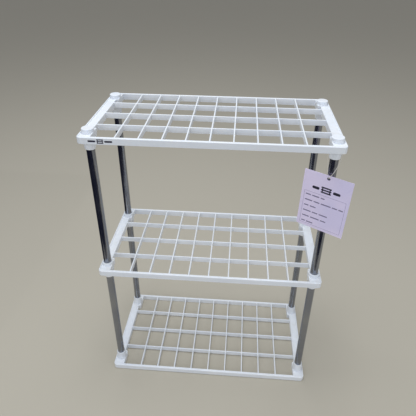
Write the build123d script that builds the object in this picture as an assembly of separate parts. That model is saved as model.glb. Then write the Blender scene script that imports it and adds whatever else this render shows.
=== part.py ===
"""Three-tier knock-down shelf riser: lattice shelves in moulded plastic on eight steel tubes.

Millimetres. The origin is on the floor at the centre of the footprint, +X along the length,
+Y to the back and +Z up. Each shelf is drawn with its deck plane at z = 0 and then lifted.
"""
import math
import os

from build123d import *

# --- driving dimensions -------------------------------------------------------------------
LENGTH = 376.6            # of each shelf, outside
DEPTH = 200.0
RIM_HEIGHT = 10.4         # front and back rims, rails and corner blocks
RIM_THICK = 4.6
TIER_RISE = 244.2         # deck to deck
CORNER_RADIUS = 7.0
EDGE_RADIUS = 1.0

COLUMN_PITCH = 33.4       # cross ribs, front to back
CROSS_RIBS = 9
ROW_PITCH = 48.7          # long ribs, left to right
LONG_RIBS = 3
RIB_THICK = 2.0
RIB_HEIGHT = 9.0
RIB_CHAMFER = 0.35

RAIL_WIDTH = 15.6         # end rails between the corner blocks
LIP = 2.0                 # raised lip round the sunk floor of the rails and blocks
LIP_CHAMFER = 0.4
RECESS_DEPTH = 1.4
RAIL_WEBS = 3             # stiffening webs across the channel under each rail
WALL = 2.0
SKIN = 2.4                # plate that closes a socket

BLOCK_INNER_X = 168.2
BLOCK_INNER_Y = 64.0

POST_X = 177.0
POST_Y = 76.9
TUBE_RADIUS = 6.5
TUBE_WALL = 0.6
SOCKET_CLEARANCE = 0.05   # radial, a push fit by hand
END_GAP = 0.1             # between a tube's end and the bottom of its socket

COLLAR_ROOT_RADIUS = 9.25
COLLAR_TIP_RADIUS = 8.25
COLLAR_TIP_ROUND = 1.2
COLLAR_BELOW = 26.7       # collar tip below the deck plane, top and middle shelves
RING_ABOVE = 4.5          # low ring on the middle shelf's deck
COLLAR_ABOVE = 16.5       # collar tip above the deck plane, bottom shelf
UPPER_STOP = 4.2          # middle shelf: the upper tube stands this far below the deck plane
LOWER_STOP = 6.2          # middle shelf: the lower tube stops this far below the deck plane
MOUTH_CHAMFER = 0.5
BOSS_ABOVE = 5.7          # closed round boss on the top shelf over each socket
CORE_RADIUS = 5.6         # hollow of the boss, above the shoulder that stops the tube

TAG_WIDTH = 74.6
TAG_HEIGHT = 97.8
TAG_THICK = 0.5
TAG_HOLE_RADIUS = 2.6
TAG_HOLE_DROP = 5.4       # hole centre below the card's top edge
TAG_CORNER = 0.8
TAG_HOLE_AT = (171.95, -86.0, 442.6)
TAG_YAW = -30.57          # degrees about the vertical
TAG_LEAN = -1.3           # degrees, the foot leans towards the tube
TAG_ROLL = -1.93          # degrees in the card's own plane

STRING_DIAMETER = 1.0
KNOT_RADIUS = 1.7
KNOT_AT = (176.6, -65.6, 486.5)
STRING_ROUTE = [          # from the knot behind the collar, down through the card and back up
    (177.4, -66.2, 486.5),
    (180.9, -66.4, 486.6),
    (187.0, -72.6, 486.8),
    (186.9, -78.8, 484.4),
    (185.9, -80.6, 475.0),
    (183.9, -82.6, 466.6),
    (180.1, -86.4, 459.0),
    (175.4, -89.9, 452.1),
    (173.2, -88.4, 448.1),
    (171.85, -87.35, 444.0),
    (171.7, -84.46, 444.0),
    (169.6, -82.9, 448.8),
    (168.9, -82.0, 457.5),
    (167.1, -81.0, 471.6),
    (166.4, -79.2, 483.4),
    (166.2, -72.7, 486.6),
    (172.3, -66.4, 486.8),
    (175.8, -66.2, 486.5),
]
RUN_SHARE = 0.45          # share of the shorter run that each bend may use

DECK_Z = {
    "bottom_shelf": RIM_HEIGHT,
    "middle_shelf": RIM_HEIGHT + TIER_RISE,
    "top_shelf": RIM_HEIGHT + 2 * TIER_RISE,
}
INNER_Y = DEPTH / 2 - RIM_THICK
RAIL_INNER_X = LENGTH / 2 - RAIL_WIDTH
SOCKET_RADIUS = TUBE_RADIUS + SOCKET_CLEARANCE
SIDES = (-1, 1)
OVERRUN = 1.0             # how far a cutter stands past the face it cuts


def span_box(low, high):
    """Box between two opposite corners."""
    size = [high[axis] - low[axis] for axis in range(3)]
    middle = [(high[axis] + low[axis]) / 2 for axis in range(3)]
    return Pos(*middle) * Box(*size)


def edges_of_spans(count, pitch, outer, thickness):
    """Clear spans between evenly pitched ribs and the two outer edges."""
    ribs = [(index - (count - 1) / 2) * pitch for index in range(count)]
    starts = [-outer] + [rib + thickness / 2 for rib in ribs]
    ends = [rib - thickness / 2 for rib in ribs] + [outer]
    return list(zip(starts, ends))


def deck_blank():
    """Solid slab with the outline of the shelf and its outer edges rounded."""
    blank = extrude(RectangleRounded(LENGTH, DEPTH, CORNER_RADIUS), amount=-RIM_HEIGHT)
    levels = blank.edges().group_by(Axis.Z)
    return fillet(levels[0] + levels[-1], EDGE_RADIUS)


def window(x_span, y_span):
    """Cutter for one opening of the lattice, with chamfered top edges."""
    width = x_span[1] - x_span[0]
    depth = y_span[1] - y_span[0]
    place = Pos(sum(x_span) / 2, sum(y_span) / 2, 0)
    shaft = Pos(0, 0, OVERRUN / 2 - RIM_HEIGHT / 2) * Box(width, depth, RIM_HEIGHT + OVERRUN)
    mouth = Pos(0, 0, -RIB_CHAMFER) * extrude(
        Rectangle(width, depth), amount=2 * RIB_CHAMFER, taper=-45)
    return place * (shaft + mouth)


def lattice_windows():
    """Cutters for every opening between the ribs."""
    columns = edges_of_spans(CROSS_RIBS, COLUMN_PITCH, RAIL_INNER_X, RIB_THICK)
    rows = edges_of_spans(LONG_RIBS, ROW_PITCH, INNER_Y, RIB_THICK)
    return [window(column, row) for column in columns for row in rows]


def end_recess(side):
    """Cutter for the sunk floor of one end rail and its two blocks, with chamfered lips."""
    outer_x, rail_x = LENGTH / 2 - LIP, RAIL_INNER_X + LIP
    block_x, block_y = BLOCK_INNER_X + LIP, BLOCK_INNER_Y + LIP
    half = [(outer_x, INNER_Y), (block_x, INNER_Y), (block_x, block_y), (rail_x, block_y)]
    corners = half + [(x, -y) for x, y in reversed(half)]
    floor = Polygon(*[(side * x, y) for x, y in corners], align=None)
    sink = extrude(floor, amount=RECESS_DEPTH + OVERRUN, dir=(0, 0, 1))
    mouth = extrude(floor, amount=2 * LIP_CHAMFER, dir=(0, 0, 1), taper=-45)
    return Pos(0, 0, -RECESS_DEPTH) * sink + Pos(0, 0, -LIP_CHAMFER) * mouth


def rail_channels(side):
    """Cutters for the webbed channel under one end rail."""
    near_x, far_x = sorted((side * (RAIL_INNER_X + WALL), side * (LENGTH / 2 - WALL)))
    half_run = BLOCK_INNER_Y - WALL
    web_pitch = 2 * half_run / (RAIL_WEBS + 1)
    return [
        span_box((near_x, y_low, -RIM_HEIGHT - OVERRUN), (far_x, y_high, -RECESS_DEPTH - WALL))
        for y_low, y_high in edges_of_spans(RAIL_WEBS, web_pitch, half_run, WALL)]


def corner_block(side_x, side_y):
    """Block that carries a socket: it widens the rail inwards at one corner."""
    x_near, x_far = side_x * BLOCK_INNER_X, side_x * (LENGTH / 2 - CORNER_RADIUS)
    y_near, y_far = side_y * BLOCK_INNER_Y, side_y * (DEPTH / 2 - RIM_THICK / 2)
    block = span_box(
        (min(x_near, x_far), min(y_near, y_far), -RIM_HEIGHT),
        (max(x_near, x_far), max(y_near, y_far), 0))
    inner = block.edges().filter_by(Axis.Z).sort_by_distance(
        (side_x * BLOCK_INNER_X, side_y * BLOCK_INNER_Y, -RIM_HEIGHT / 2))[0]
    return fillet(inner, WALL)


def block_pocket(side_x, side_y):
    """Hollow under a corner block, left solid round the socket and along two webs."""
    x_near, x_far = side_x * (BLOCK_INNER_X + WALL), side_x * (LENGTH / 2 - WALL - 0.4)
    y_near, y_far = side_y * (BLOCK_INNER_Y + WALL), side_y * (DEPTH / 2 - WALL - 0.4)
    low_z = -RIM_HEIGHT - OVERRUN
    pocket_top = -RECESS_DEPTH - WALL
    pocket = span_box(
        (min(x_near, x_far), min(y_near, y_far), low_z),
        (max(x_near, x_far), max(y_near, y_far), pocket_top))
    pocket = fillet(pocket.edges().filter_by(Axis.Z), CORNER_RADIUS - WALL)
    post = Pos(side_x * POST_X, side_y * POST_Y, (low_z + pocket_top) / 2)
    height = pocket_top - low_z + 2 * OVERRUN
    pocket -= post * Cylinder(COLLAR_ROOT_RADIUS, height)
    pocket -= post * Box(4 * COLLAR_ROOT_RADIUS, WALL, height)
    return pocket - post * Box(WALL, 4 * COLLAR_ROOT_RADIUS, height)


def tapered_collar(root_z, tip_z):
    """Solid collar from its root to its rounded tip, on the Z axis."""
    reach = abs(tip_z - root_z)
    slope = (COLLAR_ROOT_RADIUS - COLLAR_TIP_RADIUS) / reach
    lean = math.degrees(math.atan(slope))
    stem = extrude(Circle(COLLAR_ROOT_RADIUS), amount=reach, taper=lean)
    stem = fillet(stem.edges().sort_by(Axis.Z)[-1], COLLAR_TIP_ROUND)
    if tip_z < root_z:
        stem = Rot(180, 0, 0) * stem
    return Pos(0, 0, root_z) * stem


def bore(low_z, high_z, mouth_z):
    """Cutter for a socket, flared at its mouth."""
    shaft = Pos(0, 0, (low_z + high_z) / 2) * Cylinder(SOCKET_RADIUS, high_z - low_z)
    outward = 1 if mouth_z > (low_z + high_z) / 2 else -1
    flare = extrude(Circle(SOCKET_RADIUS), amount=MOUTH_CHAMFER, taper=-45)
    flare = flare if outward > 0 else Rot(180, 0, 0) * flare
    return shaft + Pos(0, 0, mouth_z - outward * MOUTH_CHAMFER) * flare


def boss(height):
    """Round boss on the deck with a rounded top edge; its root is sunk in the floor."""
    drum = extrude(Circle(COLLAR_ROOT_RADIUS), amount=height + SKIN)
    drum = fillet(drum.edges().sort_by(Axis.Z)[-1], COLLAR_TIP_ROUND)
    return Pos(0, 0, -SKIN) * drum


def socket_shapes(name):
    """Material added and material cut at one post position of the named shelf."""
    tip_low = -COLLAR_BELOW
    if name == "top_shelf":
        added = tapered_collar(-RIM_HEIGHT, tip_low) + boss(BOSS_ABOVE)
        core = extrude(Circle(CORE_RADIUS), amount=BOSS_ABOVE)
        cut = bore(tip_low, -SKIN, tip_low) + Pos(0, 0, -SKIN) * core
    elif name == "middle_shelf":
        added = tapered_collar(-RIM_HEIGHT, tip_low) + boss(RING_ABOVE)
        cut = bore(tip_low, -LOWER_STOP, tip_low) + bore(-UPPER_STOP, RING_ABOVE, RING_ABOVE)
    else:
        added = tapered_collar(-SKIN, COLLAR_ABOVE)
        cut = bore(SKIN - RIM_HEIGHT, COLLAR_ABOVE, COLLAR_ABOVE)
    return added, cut


def shelf(name):
    """One complete shelf, at its own height."""
    deck = deck_blank() - lattice_windows()
    deck -= span_box((-RAIL_INNER_X, -INNER_Y, -RIM_HEIGHT - OVERRUN),
                     (RAIL_INNER_X, INNER_Y, -RIB_HEIGHT))
    added, cut = socket_shapes(name)
    corners = [(side_x, side_y) for side_x in SIDES for side_y in SIDES]
    for corner in corners:
        deck += corner_block(*corner)
    for side in SIDES:
        deck -= end_recess(side)
        deck -= rail_channels(side)
    for corner in corners:
        deck -= block_pocket(*corner)
    for side_x, side_y in corners:
        post = Pos(side_x * POST_X, side_y * POST_Y, 0)
        deck += post * added
        deck -= post * cut
    return Pos(0, 0, DECK_Z[name]) * deck


def tube(low_z, high_z, side_x, side_y):
    """One thin-walled steel tube between two sockets."""
    section = Circle(TUBE_RADIUS) - Circle(TUBE_RADIUS - TUBE_WALL)
    pipe = extrude(section, amount=high_z - low_z - 2 * END_GAP)
    return Pos(side_x * POST_X, side_y * POST_Y, low_z + END_GAP) * pipe


def tubes():
    """All eight tubes, by name."""
    middle_z = DECK_Z["middle_shelf"]
    spans = {
        "lower": (SKIN, middle_z - LOWER_STOP),
        "upper": (middle_z - UPPER_STOP, DECK_Z["top_shelf"] - SKIN),
    }
    made = {}
    for tier, (low_z, high_z) in spans.items():
        for front, side_y in (("front", -1), ("back", 1)):
            for hand, side_x in (("left", -1), ("right", 1)):
                made[f"{tier}_tube_{front}_{hand}"] = tube(low_z, high_z, side_x, side_y)
    return made


def hang_tag():
    """Card tag, hanging by its hole."""
    card = RectangleRounded(TAG_WIDTH, TAG_HEIGHT, TAG_CORNER)
    card = Pos(0, TAG_HOLE_DROP - TAG_HEIGHT / 2) * card - Circle(TAG_HOLE_RADIUS)
    upright = Rot(90, 0, 0) * extrude(card, amount=TAG_THICK / 2, both=True)
    turned = Rot(0, 0, TAG_YAW) * Rot(-TAG_LEAN, 0, 0) * Rot(0, -TAG_ROLL, 0) * upright
    return Pos(*TAG_HOLE_AT) * turned


def bend_radii(route):
    """Largest bend that each corner of the route has room for."""
    radii = []
    for before, corner, after in zip(route, route[1:], route[2:]):
        run_in = Vector(*corner) - Vector(*before)
        run_out = Vector(*after) - Vector(*corner)
        turn = math.radians(run_in.get_angle(run_out))
        shorter = min(run_in.length, run_out.length)
        radii.append(RUN_SHARE * shorter / math.tan(turn / 2))
    return radii


def tag_string():
    """String from the knot round the collar, through the tag's hole and back to the knot."""
    radii = bend_radii(STRING_ROUTE)
    path = FilletPolyline(*STRING_ROUTE, radius=radii)
    section = Plane(origin=path @ 0, z_dir=path % 0) * Circle(STRING_DIAMETER / 2)
    string = sweep(section, path=path)
    print("string radii", [round(radius, 2) for radius in radii])
    expected = math.pi * (STRING_DIAMETER / 2) ** 2 * path.length
    print("string length", round(path.length, 2), "volume", round(string.volume, 3),
          "expected", round(expected, 3))
    return string


def build():
    """Every node of the assembly, by name."""
    nodes = {name: shelf(name) for name in DECK_Z}
    nodes.update(tubes())
    nodes["hang_tag"] = hang_tag()
    nodes["tag_string"] = tag_string()
    nodes["string_knot"] = Pos(*KNOT_AT) * Sphere(KNOT_RADIUS)
    return nodes


def main():
    os.makedirs("parts", exist_ok=True)
    for name, solid in build().items():
        export_step(solid, f"parts/{name}.step")


main()
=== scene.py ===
"""Looks of the three-tier shelf riser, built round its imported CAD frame. Metres, +Z up."""
import math

import bmesh
import bpy
from mathutils import Matrix, Vector


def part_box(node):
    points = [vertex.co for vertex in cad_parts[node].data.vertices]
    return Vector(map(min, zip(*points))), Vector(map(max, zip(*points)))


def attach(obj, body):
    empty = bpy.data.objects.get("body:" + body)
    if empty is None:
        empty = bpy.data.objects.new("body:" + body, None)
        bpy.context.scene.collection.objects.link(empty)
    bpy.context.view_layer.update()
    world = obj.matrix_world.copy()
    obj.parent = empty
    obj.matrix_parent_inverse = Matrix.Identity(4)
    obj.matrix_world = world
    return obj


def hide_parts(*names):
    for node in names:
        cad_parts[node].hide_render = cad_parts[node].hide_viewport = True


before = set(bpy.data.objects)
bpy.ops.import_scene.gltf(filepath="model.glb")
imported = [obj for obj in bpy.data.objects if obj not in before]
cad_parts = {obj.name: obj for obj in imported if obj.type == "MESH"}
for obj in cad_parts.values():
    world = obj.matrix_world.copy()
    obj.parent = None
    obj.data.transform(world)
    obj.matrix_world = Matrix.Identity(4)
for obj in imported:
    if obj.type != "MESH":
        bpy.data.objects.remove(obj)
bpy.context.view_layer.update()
MM = 0.001

SHELVES = ("bottom_shelf", "middle_shelf", "top_shelf")
TUBES = [f"{tier}_tube_{side}_{hand}" for tier in ("lower", "upper")
         for side in ("front", "back") for hand in ("left", "right")]
RACK, TAG = "rack", "tag"

# --- camera -------------------------------------------------------------------------------
SENSOR = 36.0
FOCAL = 37.44
CAMERA_AT = Vector((0.0402, -0.6459, 0.7413))
CAMERA_PITCH = 0.5676     # radians below the horizon
CAMERA_YAW = 0.0755       # radians to the left of +Y
CAMERA_ROLL = 0.0073


def make_camera():
    """Camera in front of the rack, looking down at it and slightly to the left."""
    data = bpy.data.cameras.new("camera")
    data.sensor_width, data.lens = SENSOR, FOCAL
    data.clip_start, data.clip_end = 0.01, 50
    camera = bpy.data.objects.new("camera", data)
    bpy.context.scene.collection.objects.link(camera)
    turn = (Matrix.Rotation(CAMERA_YAW, 4, "Z")
            @ Matrix.Rotation(math.pi / 2 - CAMERA_PITCH, 4, "X")
            @ Matrix.Rotation(CAMERA_ROLL, 4, "Z"))
    camera.matrix_world = Matrix.Translation(CAMERA_AT) @ turn
    bpy.context.scene.camera = camera


make_camera()

# --- material helpers ---------------------------------------------------------------------


def new_material(name, roughness=0.5, metallic=0.0):
    """Material with its node tree and its Principled shader."""
    material = bpy.data.materials.new(name)
    material.use_nodes = True
    tree = material.node_tree
    shader = next(node for node in tree.nodes if node.type == "BSDF_PRINCIPLED")
    shader.inputs["Roughness"].default_value = roughness
    shader.inputs["Metallic"].default_value = metallic
    return material, tree, shader


def noise(tree, scale, detail=2.0, stretch=(1, 1, 1)):
    """Noise over the piece's own coordinates, with features about 1/scale metres across."""
    place = tree.nodes.new("ShaderNodeTexCoord")
    mapping = tree.nodes.new("ShaderNodeMapping")
    mapping.inputs["Scale"].default_value = stretch
    texture = tree.nodes.new("ShaderNodeTexNoise")
    texture.inputs["Scale"].default_value = scale
    texture.inputs["Detail"].default_value = detail
    tree.links.new(place.outputs["Object"], mapping.inputs["Vector"])
    tree.links.new(mapping.outputs["Vector"], texture.inputs["Vector"])
    return texture.outputs["Fac"]


def spread(tree, value, low_in, high_in, low_out, high_out):
    """Clamped linear map from one range of values to another."""
    node = tree.nodes.new("ShaderNodeMapRange")
    for name, number in (("From Min", low_in), ("From Max", high_in),
                         ("To Min", low_out), ("To Max", high_out)):
        node.inputs[name].default_value = number
    tree.links.new(value, node.inputs["Value"])
    return node.outputs["Result"]


def combine(tree, operation, first, second):
    """Two values joined by a Math node."""
    node = tree.nodes.new("ShaderNodeMath")
    node.operation = operation
    node.use_clamp = True
    tree.links.new(first, node.inputs[0])
    tree.links.new(second, node.inputs[1])
    return node.outputs["Value"]


def blend_colours(tree, factor, first, second):
    """Colour between two others; each is a socket or four numbers."""
    node = tree.nodes.new("ShaderNodeMix")
    node.data_type = "RGBA"
    tree.links.new(factor, node.inputs["Factor"])
    sockets = [socket for socket in node.inputs if socket.type == "RGBA"]
    for socket, colour in zip(sockets, (first, second)):
        if isinstance(colour, tuple):
            socket.default_value = colour
        else:
            tree.links.new(colour, socket)
    return next(socket for socket in node.outputs if socket.type == "RGBA")


def add_bumps(tree, shader, layers):
    """Bump nodes in a chain, one for each (height, metres) pair."""
    normal = None
    for height, distance in layers:
        node = tree.nodes.new("ShaderNodeBump")
        node.inputs["Distance"].default_value = distance
        tree.links.new(height, node.inputs["Height"])
        if normal is not None:
            tree.links.new(normal, node.inputs["Normal"])
        normal = node.outputs["Normal"]
    tree.links.new(normal, shader.inputs["Normal"])


def upward(tree):
    """How far the surface faces up, from -1 to 1, in the piece's own frame."""
    place = tree.nodes.new("ShaderNodeTexCoord")
    split = tree.nodes.new("ShaderNodeSeparateXYZ")
    tree.links.new(place.outputs["Normal"], split.inputs["Vector"])
    return split.outputs["Z"]


# --- materials ----------------------------------------------------------------------------


def moulded_plastic():
    """Semi-gloss white polypropylene: faint flow marks, orange peel, dust on top, scuffs."""
    material, tree, shader = new_material("shelf_plastic")
    shader.inputs["IOR"].default_value = 1.49
    shader.inputs["Subsurface Weight"].default_value = 0.1
    shader.inputs["Subsurface Radius"].default_value = (1.0, 0.9, 0.8)
    shader.inputs["Subsurface Scale"].default_value = 0.002
    flow = spread(tree, noise(tree, 9, 3), 0.35, 0.65, 0, 1)
    body = blend_colours(tree, flow, (0.80, 0.825, 0.87, 1), (0.86, 0.875, 0.90, 1))
    patches = spread(tree, noise(tree, 45, 4), 0.5, 0.75, 0, 1)
    facing_up = spread(tree, upward(tree), 0.6, 1, 0, 0.35)
    dusty = blend_colours(tree, combine(tree, "MULTIPLY", patches, facing_up), body,
                          (0.66, 0.64, 0.60, 1))
    specks = spread(tree, noise(tree, 1400, 1), 0.74, 0.80, 0, 0.4)
    tree.links.new(blend_colours(tree, specks, dusty, (0.45, 0.43, 0.40, 1)),
                   shader.inputs["Base Color"])
    scuffs = spread(tree, noise(tree, 260, 3, (1, 0.08, 1)), 0.55, 0.8, 0, 1)
    rough = spread(tree, combine(tree, "ADD", scuffs, patches), 0, 1, 0.30, 0.50)
    tree.links.new(rough, shader.inputs["Roughness"])
    add_bumps(tree, shader, [(noise(tree, 40, 1), 0.00025), (noise(tree, 900, 2), 0.00003),
                             (scuffs, 0.000015)])
    return material


def polished_steel():
    """Bright drawn tube: fine lines along it, hazy smudges and a few darker flecks."""
    material, tree, shader = new_material("tube_steel", metallic=1.0)
    haze = spread(tree, noise(tree, 28, 4), 0.4, 0.7, 0, 1)
    metal = blend_colours(tree, haze, (0.28, 0.295, 0.34, 1), (0.34, 0.35, 0.375, 1))
    flecks = spread(tree, noise(tree, 620, 2), 0.70, 0.76, 0, 0.6)
    tree.links.new(blend_colours(tree, flecks, metal, (0.18, 0.165, 0.15, 1)),
                   shader.inputs["Base Color"])
    lines = noise(tree, 2400, 2, (1, 1, 0.012))
    hazy = spread(tree, haze, 0, 1, 0.0, 0.10)
    drawn = spread(tree, lines, 0.3, 0.7, 0.10, 0.18)
    tree.links.new(combine(tree, "ADD", hazy, drawn), shader.inputs["Roughness"])
    add_bumps(tree, shader, [(lines, 0.000012), (noise(tree, 120, 1), 0.00002)])
    return material


def coated_card():
    """Pale lilac coated card: painted sheen in broad bluish and pinkish patches, fine fibres
    and a slightly uneven sheen.
    """
    material, tree, shader = new_material("tag_card")
    shader.inputs["Sheen Weight"].default_value = 0.08
    mottle = spread(tree, noise(tree, 130, 4), 0.35, 0.65, 0, 1)
    # Broad bluish and pinkish patches in the card's colour: painted sheen, standing in for a
    # glossy card's bright and dark patches.
    patches = spread(tree, noise(tree, 24, 1), 0.38, 0.62, 0, 1)
    body = blend_colours(tree, patches, (0.79, 0.72, 0.97, 1), (0.87, 0.77, 0.99, 1))
    fibres = noise(tree, 2600, 3, (1, 1, 0.2))
    light = spread(tree, fibres, 0.60, 0.72, 0, 0.5)
    tree.links.new(blend_colours(tree, light, body, (0.92, 0.86, 1.0, 1)),
                   shader.inputs["Base Color"])
    tree.links.new(spread(tree, mottle, 0, 1, 0.42, 0.58), shader.inputs["Roughness"])
    add_bumps(tree, shader, [(noise(tree, 35, 2), 0.0006), (fibres, 0.00003)])
    return material


def ink(name, colour):
    """Printing ink that lets a little of the card through where it is thin."""
    material, tree, shader = new_material(name)
    thin = spread(tree, noise(tree, 1500, 3), 0.55, 0.75, 0, 0.2)
    tree.links.new(blend_colours(tree, thin, colour, (0.60, 0.56, 0.64, 1)),
                   shader.inputs["Base Color"])
    tree.links.new(spread(tree, noise(tree, 400, 2), 0.3, 0.7, 0.30, 0.45),
                   shader.inputs["Roughness"])
    add_bumps(tree, shader, [(thin, 0.00001)])
    return material


def twisted_cotton():
    """Off-white cotton: fine fibres, with painted shade greying the hollows between them."""
    material, tree, shader = new_material("tag_string")
    shader.inputs["Sheen Weight"].default_value = 0.3
    fibres = noise(tree, 5200, 3, (1, 1, 0.35))
    # Fibre colour darker where the bump is low: partly the fibres' own tone, partly painted
    # shade in the hollows.
    shade = blend_colours(tree, spread(tree, fibres, 0.35, 0.65, 0, 1),
                          (0.62, 0.57, 0.49, 1), (0.84, 0.80, 0.72, 1))
    soiled = spread(tree, noise(tree, 90, 2), 0.5, 0.7, 0, 0.3)
    tree.links.new(blend_colours(tree, soiled, shade, (0.45, 0.41, 0.36, 1)),
                   shader.inputs["Base Color"])
    tree.links.new(spread(tree, fibres, 0.3, 0.7, 0.75, 0.95), shader.inputs["Roughness"])
    add_bumps(tree, shader, [(fibres, 0.00006)])
    return material


plastic, steel, card, cotton = (moulded_plastic(), polished_steel(), coated_card(),
                                twisted_cotton())
dark_ink = ink("dark_ink", (0.016, 0.014, 0.035, 1))
grey_ink = ink("grey_ink", (0.22, 0.19, 0.32, 1))
pale_ink = ink("pale_ink", (0.36, 0.31, 0.50, 1))


def dress(node, material):
    """Gives a CAD node its finished material."""
    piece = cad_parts[node]
    piece.data.materials.clear()
    piece.data.materials.append(material)


for name in SHELVES:
    dress(name, plastic)
for name in TUBES:
    dress(name, steel)
dress("hang_tag", card)


def add_piece(name, shape, material, body):
    """Mesh object from a bmesh, riding on a body."""
    mesh = bpy.data.meshes.new(name)
    shape.to_mesh(mesh)
    shape.free()
    mesh.materials.append(material)
    piece = bpy.data.objects.new(name, mesh)
    bpy.context.scene.collection.objects.link(piece)
    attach(piece, body)
    return piece


# --- the tag's string ---------------------------------------------------------------------
STRING_DIAMETER = 1.0 * MM
STRING_ROUTE = [
    (0.1774, -0.0662, 0.4865),
    (0.1809, -0.0664, 0.4866),
    (0.1870, -0.0726, 0.4868),
    (0.1869, -0.0788, 0.4844),
    (0.1859, -0.0806, 0.4750),
    (0.1839, -0.0826, 0.4666),
    (0.1801, -0.0864, 0.4590),
    (0.1754, -0.0899, 0.4521),
    (0.1732, -0.0884, 0.4481),
    (0.17185, -0.08735, 0.4440),
    (0.1717, -0.08446, 0.4440),
    (0.1696, -0.0829, 0.4488),
    (0.1689, -0.0820, 0.4575),
    (0.1671, -0.0810, 0.4716),
    (0.1664, -0.0792, 0.4834),
    (0.1662, -0.0727, 0.4866),
    (0.1723, -0.0664, 0.4868),
    (0.1758, -0.0662, 0.4865),
]
PLY_COUNT = 3
PLY_SHARE = 0.28          # radius of one ply, as a share of the string's diameter
PLY_PITCH = 3.4 * MM      # length of one full twist
RING_STEP = 0.28 * MM     # spacing of the rings along a ply
RING_SIDES = 7


def smooth_line(points):
    """Points along the NURBS curve that has these control points."""
    curve = bpy.data.curves.new("route", "CURVE")
    curve.dimensions = "3D"
    spline = curve.splines.new("NURBS")
    spline.points.add(len(points) - 1)
    for point, place in zip(spline.points, points):
        point.co = (*place, 1.0)
    spline.order_u = 3
    spline.use_endpoint_u = True
    spline.resolution_u = 12
    holder = bpy.data.objects.new("route", curve)
    mesh = bpy.data.meshes.new_from_object(holder)
    line = [vertex.co.copy() for vertex in mesh.vertices]
    bpy.data.objects.remove(holder)
    bpy.data.curves.remove(curve)
    bpy.data.meshes.remove(mesh)
    return line


def even_line(line, step):
    """The same line with its points a fixed step apart."""
    total = sum((after - before).length for before, after in zip(line, line[1:]))
    count = max(2, round(total / step))
    targets = [total * index / count for index in range(count + 1)]
    even, walked, position = [], 0.0, 0
    for target in targets:
        span = (line[position + 1] - line[position]).length
        while walked + span < target and position < len(line) - 2:
            walked += span
            position += 1
            span = (line[position + 1] - line[position]).length
        share = min(1.0, (target - walked) / span) if span else 0.0
        even.append(line[position].lerp(line[position + 1], share))
    return even


def carried_frames(line):
    """Two cross directions at every point, carried along the line without twisting."""
    across = (line[1] - line[0]).orthogonal().normalized()
    frames = []
    for index in range(len(line)):
        along = (line[min(index + 1, len(line) - 1)] - line[max(index - 1, 0)]).normalized()
        across = (across - along * across.dot(along)).normalized()
        frames.append((across, along.cross(across)))
    return frames


def add_tube(shape, centres, frames, radii, closed=False):
    """Round skin along a row of centres; an open one gets end caps."""
    rings = []
    for centre, (across, aside), radius in zip(centres, frames, radii):
        turns = [2 * math.pi * side / RING_SIDES for side in range(RING_SIDES)]
        rings.append([shape.verts.new(centre + radius * (math.cos(turn) * across
                                                         + math.sin(turn) * aside))
                      for turn in turns])
    pairs = list(zip(rings, rings[1:])) + ([(rings[-1], rings[0])] if closed else [])
    for ring, following in pairs:
        for side in range(RING_SIDES):
            after = (side + 1) % RING_SIDES
            shape.faces.new((ring[side], ring[after], following[after], following[side]))
    if not closed:
        shape.faces.new(reversed(rings[0]))
        shape.faces.new(rings[-1])


def add_rope(shape, line, fray=0.0):
    """Three plies twisted round a line; fray opens them towards the line's end."""
    frames = carried_frames(line)
    ply_radius = PLY_SHARE * STRING_DIAMETER
    reach = STRING_DIAMETER / 2 - ply_radius
    run = len(line) - 1
    for ply in range(PLY_COUNT):
        centres = []
        for index, (centre, (across, aside)) in enumerate(zip(line, frames)):
            turn = 2 * math.pi * (ply / PLY_COUNT + index * RING_STEP / PLY_PITCH)
            opened = reach * (1 + fray * (index / run) ** 3)
            centres.append(centre + opened * (math.cos(turn) * across
                                              + math.sin(turn) * aside))
        add_tube(shape, centres, frames, [ply_radius] * len(line))


def smooth_shade(shape):
    """Outward normals and smooth shading on every face."""
    bmesh.ops.recalc_face_normals(shape, faces=shape.faces)
    for face in shape.faces:
        face.smooth = True


def make_string():
    """The twisted string, and the evenly spaced line that it follows."""
    line = even_line(smooth_line(STRING_ROUTE), RING_STEP)
    shape = bmesh.new()
    add_rope(shape, line)
    smooth_shade(shape)
    piece = add_piece("string", shape, cotton, RACK)
    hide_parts("tag_string")
    return piece, line


# --- the knot behind the collar -----------------------------------------------------------
KNOT_REACH = 0.42 * MM    # a third of the overhand loop's outer radius
KNOT_THICK = 0.42         # radius of its strand, as a share of the string's diameter
KNOT_STEPS = 120
TAIL_FRAY = 1.6           # how much the plies open at a tail's end
KNOT_TAILS = (            # each tail leaves the knot and hangs
    ((0, 0, 0), (0.9, 1.4, -0.6), (1.9, 2.6, -3.0), (1.7, 2.8, -6.2), (2.3, 2.4, -9.0)),
    ((0, 0, 0), (-0.8, 1.5, -0.4), (-2.2, 2.3, -2.4), (-2.4, 2.9, -5.2), (-1.8, 3.3, -7.6)),
)


def overhand_loop(middle):
    """Closed line of an overhand knot pulled tight, round the middle point."""
    line = []
    for step in range(KNOT_STEPS):
        turn = 2 * math.pi * step / KNOT_STEPS
        line.append(middle + KNOT_REACH * Vector((
            math.sin(turn) + 2 * math.sin(2 * turn),
            -math.sin(3 * turn),
            math.cos(turn) - 2 * math.cos(2 * turn))))
    return line


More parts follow.
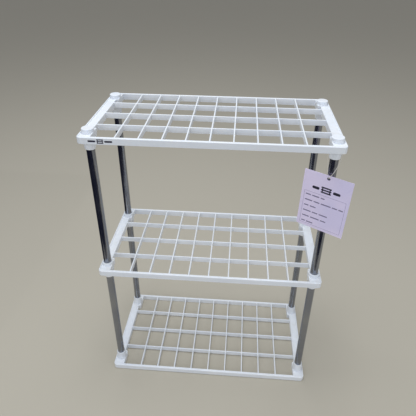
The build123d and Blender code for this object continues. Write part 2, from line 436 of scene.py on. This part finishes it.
def make_knot():
    """Overhand knot with two frayed tails, where the CAD has its plain ball."""
    low, high = (Vector(corner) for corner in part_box("string_knot"))
    middle = (low + high) / 2
    shape = bmesh.new()
    loop = overhand_loop(middle)
    frames = []
    for before, after in zip(loop[-1:] + loop[:-1], loop[1:] + loop[:1]):
        along = (after - before).normalized()
        across = along.cross(Vector((0, 1, 0))).normalized()
        frames.append((across, along.cross(across)))
    add_tube(shape, loop, frames, [KNOT_THICK * STRING_DIAMETER] * KNOT_STEPS, closed=True)
    for tail in KNOT_TAILS:
        points = [middle + MM * Vector(point) for point in tail]
        add_rope(shape, even_line(smooth_line(points), RING_STEP), fray=TAIL_FRAY)
    smooth_shade(shape)
    piece = add_piece("overhand_knot", shape, cotton, RACK)
    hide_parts("string_knot")


string, string_line = make_string()
make_knot()

# --- prints -------------------------------------------------------------------------------
PRINT_THICK = 0.04 * MM
PRINT_SUNK = 0.01 * MM
CORNER_STEPS = 4

TAG_HOLE_AT = Vector((0.17195, -0.086, 0.4426))
TAG_TURN = (-30.57, 1.3, 1.93)      # degrees about Z, then the card's X and Y
TAG_WIDTH, TAG_HEIGHT = 74.6, 97.8  # millimetres, as are all sizes of the prints
TAG_HOLE_DROP = 5.4
TAG_THICK = 0.5

MARK_TOP, MARK_HEIGHT = 20.5, 10.6  # the bold pictogram's place on the card
MARK_BAR = 11.1                     # length of each bar beside it
# The pictogram's parts as shares of its height.
MARK_WIDE, MARK_GAP = 1.5, 0.25     # the shelf's width, and its gap to a bar
MARK_BOARD, MARK_POST = 0.22, 0.17  # a board's height and a post's width
MARK_BAR_HEIGHT = 0.42
POST_SPREAD = 0.36                  # a post's distance from the middle, by the shelf's width
FRAME_INSET, FRAME_LINE = 4.6, 0.45
DIVIDER_DROP = 35.0
TEXT_LEFT, TEXT_TOP, TEXT_PITCH, TEXT_HEIGHT = 7.2, 40.6, 9.75, 1.9
TEXT_ROWS = (             # lengths of the words in each row
    (8.6, 11.6, 6.4),
    (12.4, 9.6, 15.8, 8.2, 7.0),
    (7.6, 9.8),
    (12.8, 9.2, 13.6),
    (11.4, 14.6, 8.8),
    (6.2, 10.8),
)
WORD_GAP = 1.9

RIM_MARK_LEFT = -171.0    # the pictogram at the left end of the top shelf's front rim
RIM_MARK_HEIGHT, RIM_MARK_BAR = 6.4, 11.2
DECK_TOP, RIM_DEPTH = 498.8, 10.4   # the top deck's height and its rim's depth


def card_place():
    """Matrix from the card's own frame, its hole at the origin, to the model's."""
    yaw, lean, roll = (math.radians(angle) for angle in TAG_TURN)
    return (Matrix.Translation(TAG_HOLE_AT) @ Matrix.Rotation(yaw, 4, "Z")
            @ Matrix.Rotation(lean, 4, "X") @ Matrix.Rotation(roll, 4, "Y"))


def add_slab(shape, place, left, top, width, height, round_by):
    """Rounded slab of ink in the XZ plane of a place; top is its upper edge."""
    inner_x = (left + round_by, left + width - round_by)
    inner_z = (top - height + round_by, top - round_by)
    outline = []
    for quarter, (x, z) in enumerate(((inner_x[1], inner_z[1]), (inner_x[0], inner_z[1]),
                                      (inner_x[0], inner_z[0]), (inner_x[1], inner_z[0]))):
        for step in range(CORNER_STEPS + 1):
            turn = math.pi / 2 * (quarter + step / CORNER_STEPS)
            outline.append((x + round_by * math.cos(turn), z + round_by * math.sin(turn)))
    layers = []
    for depth in (PRINT_SUNK, PRINT_SUNK - PRINT_THICK):
        layers.append([shape.verts.new(place @ Vector((x * MM, depth, z * MM)))
                       for x, z in outline])
    back, front = layers
    shape.faces.new(reversed(back))
    shape.faces.new(front)
    for index in range(len(outline)):
        after = (index + 1) % len(outline)
        shape.faces.new((back[index], back[after], front[after], front[index]))


def mark_width(height, bar_width):
    """Width of the whole pictogram, from bar end to bar end."""
    return (MARK_WIDE + 2 * MARK_GAP) * height + 2 * bar_width


def add_mark(shape, place, centre_x, top, height, bar_width):
    """Generic shelf pictogram: three boards on two posts, with a bar on each side."""
    board, post = MARK_BOARD * height, MARK_POST * height
    width = MARK_WIDE * height
    left = centre_x - width / 2
    pitch = (height - board) / 2
    for level in range(3):
        add_slab(shape, place, left, top - level * pitch, width, board, 0.3 * board)
    gap = pitch - board
    for level in range(2):
        for side in (-1, 1):
            post_left = centre_x + side * POST_SPREAD * width - post / 2
            add_slab(shape, place, post_left, top - level * pitch - board, post, gap,
                     0.2 * min(post, gap))
    bar_height = MARK_BAR_HEIGHT * height
    reach = mark_width(height, bar_width) / 2
    for bar_left in (centre_x - reach, centre_x + reach - bar_width):
        add_slab(shape, place, bar_left, top - height / 2 + bar_height / 2, bar_width,
                 bar_height, 0.4 * bar_height)


def finish_print(name, shape, material, body):
    """Turns the slabs' faces outwards and adds them as one piece."""
    bmesh.ops.recalc_face_normals(shape, faces=shape.faces)
    add_piece(name, shape, material, body)


def print_card():
    """Everything printed on the card's front: pictogram, frame, divider and greeked rows."""
    face = card_place() @ Matrix.Translation((0, -TAG_THICK / 2 * MM, 0))
    top_edge, left_edge = TAG_HOLE_DROP, -TAG_WIDTH / 2

    mark = bmesh.new()
    add_mark(mark, face, 0, top_edge - MARK_TOP, MARK_HEIGHT, MARK_BAR)
    finish_print("tag_mark", mark, dark_ink, TAG)

    border = bmesh.new()
    frame_left, frame_top = left_edge + FRAME_INSET, top_edge - DIVIDER_DROP
    frame_width = TAG_WIDTH - 2 * FRAME_INSET
    frame_height = TAG_HEIGHT - DIVIDER_DROP - FRAME_INSET
    for drop in (0, frame_height - FRAME_LINE):
        add_slab(border, face, frame_left, frame_top - drop, frame_width, FRAME_LINE,
                 0.4 * FRAME_LINE)
    for shift in (0, frame_width - FRAME_LINE):
        add_slab(border, face, frame_left + shift, frame_top - FRAME_LINE, FRAME_LINE,
                 frame_height - 2 * FRAME_LINE, 0.4 * FRAME_LINE)
    finish_print("tag_border", border, pale_ink, TAG)

    rows = bmesh.new()
    for row, words in enumerate(TEXT_ROWS):
        start = left_edge + TEXT_LEFT
        row_top = top_edge - TEXT_TOP - row * TEXT_PITCH + TEXT_HEIGHT / 2
        for word in words:
            add_slab(rows, face, start, row_top, word, TEXT_HEIGHT, 0.45 * TEXT_HEIGHT)
            start += word + WORD_GAP
    finish_print("tag_rows", rows, grey_ink, TAG)


def print_rim():
    """Pictogram on the top shelf's front rim."""
    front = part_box("top_shelf")[0][1]
    centre_x = RIM_MARK_LEFT + mark_width(RIM_MARK_HEIGHT, RIM_MARK_BAR) / 2
    top = DECK_TOP - RIM_DEPTH / 2 + RIM_MARK_HEIGHT / 2
    mark = bmesh.new()
    add_mark(mark, Matrix.Translation((0, front, 0)), centre_x, top, RIM_MARK_HEIGHT,
             RIM_MARK_BAR)
    finish_print("rim_mark", mark, dark_ink, RACK)


print_card()
print_rim()

# --- stage --------------------------------------------------------------------------------
FLOOR_HALF = 9.0
FLOOR_COLOUR = (0.50, 0.455, 0.37, 1)
FLAG_REACH = 3.0          # the dark studio cards run out this far to the left and the front
FLAG_HEIGHT = 3 * MM
FLAG_COLOUR = (0.010, 0.010, 0.028, 1)
FLAGS = (                 # name, right edge, back edge
    ("front_flag", 0.55, -0.40),
    ("left_flag", -0.46, 0.70),
)
LIGHTS = (                # name, place, what it faces, size, watts, colour
    ("overhead", (-0.2, 0.1, 2.1), (0, 0, 0.2), (1.2, 1.0), 23, (0.92, 0.96, 1.0)),
    ("front", (-0.6, -1.9, 1.1), (0, 0, 0.25), (1.6, 1.0), 11, (0.82, 0.89, 1.0)),
    ("right", (1.5, -1.1, 1.0), (0, 0, 0.25), (1.2, 1.0), 5, (0.86, 0.92, 1.0)),
)
SURROUND_COLOUR = (0.88, 0.93, 1.0, 1)
SURROUND_STRENGTH = 0.40


def flat_sheet(name, low, high, height, material):
    """Flat rectangle at one height."""
    mesh = bpy.data.meshes.new(name)
    mesh.from_pydata([(low[0], low[1], height), (high[0], low[1], height),
                      (high[0], high[1], height), (low[0], high[1], height)],
                     [], [(0, 1, 2, 3)])
    mesh.materials.append(material)
    sheet = bpy.data.objects.new(name, mesh)
    bpy.context.scene.collection.objects.link(sheet)
    return sheet


def make_floor():
    """Plain pale floor."""
    material, _, shader = new_material("floor", roughness=0.85)
    shader.inputs["Base Color"].default_value = FLOOR_COLOUR
    flat_sheet("floor", (-FLOOR_HALF, -FLOOR_HALF), (FLOOR_HALF, FLOOR_HALF), 0, material)


def make_flags():
    """Dark studio cards in front and on the left, which only reflections see."""
    material, _, shader = new_material("flag", roughness=1.0)
    shader.inputs["Base Color"].default_value = FLAG_COLOUR
    for name, right, back in FLAGS:
        flag = flat_sheet(name, (-FLAG_REACH, -FLAG_REACH), (right, back), FLAG_HEIGHT,
                          material)
        flag.visible_camera = flag.visible_diffuse = flag.visible_shadow = False


def make_light(name, place, aim, size, energy, colour):
    """Soft rectangular light that faces a point."""
    data = bpy.data.lights.new(name, "AREA")
    data.shape = "RECTANGLE"
    data.size, data.size_y = size
    data.energy, data.color = energy, colour
    light = bpy.data.objects.new(name, data)
    light.location = place
    light.rotation_mode = "QUATERNION"
    light.rotation_quaternion = (Vector(aim) - Vector(place)).to_track_quat("-Z", "Y")
    bpy.context.scene.collection.objects.link(light)


def make_surround():
    """Even, slightly cool light from all round."""
    world = bpy.data.worlds.new("world")
    bpy.context.scene.world = world
    world.use_nodes = True
    background = world.node_tree.nodes["Background"]
    background.inputs["Color"].default_value = SURROUND_COLOUR
    background.inputs["Strength"].default_value = SURROUND_STRENGTH


make_floor()
make_flags()
for light_facts in LIGHTS:
    make_light(*light_facts)
make_surround()
bpy.context.scene.view_settings.view_transform = "Standard"

bpy.context.view_layer.update()
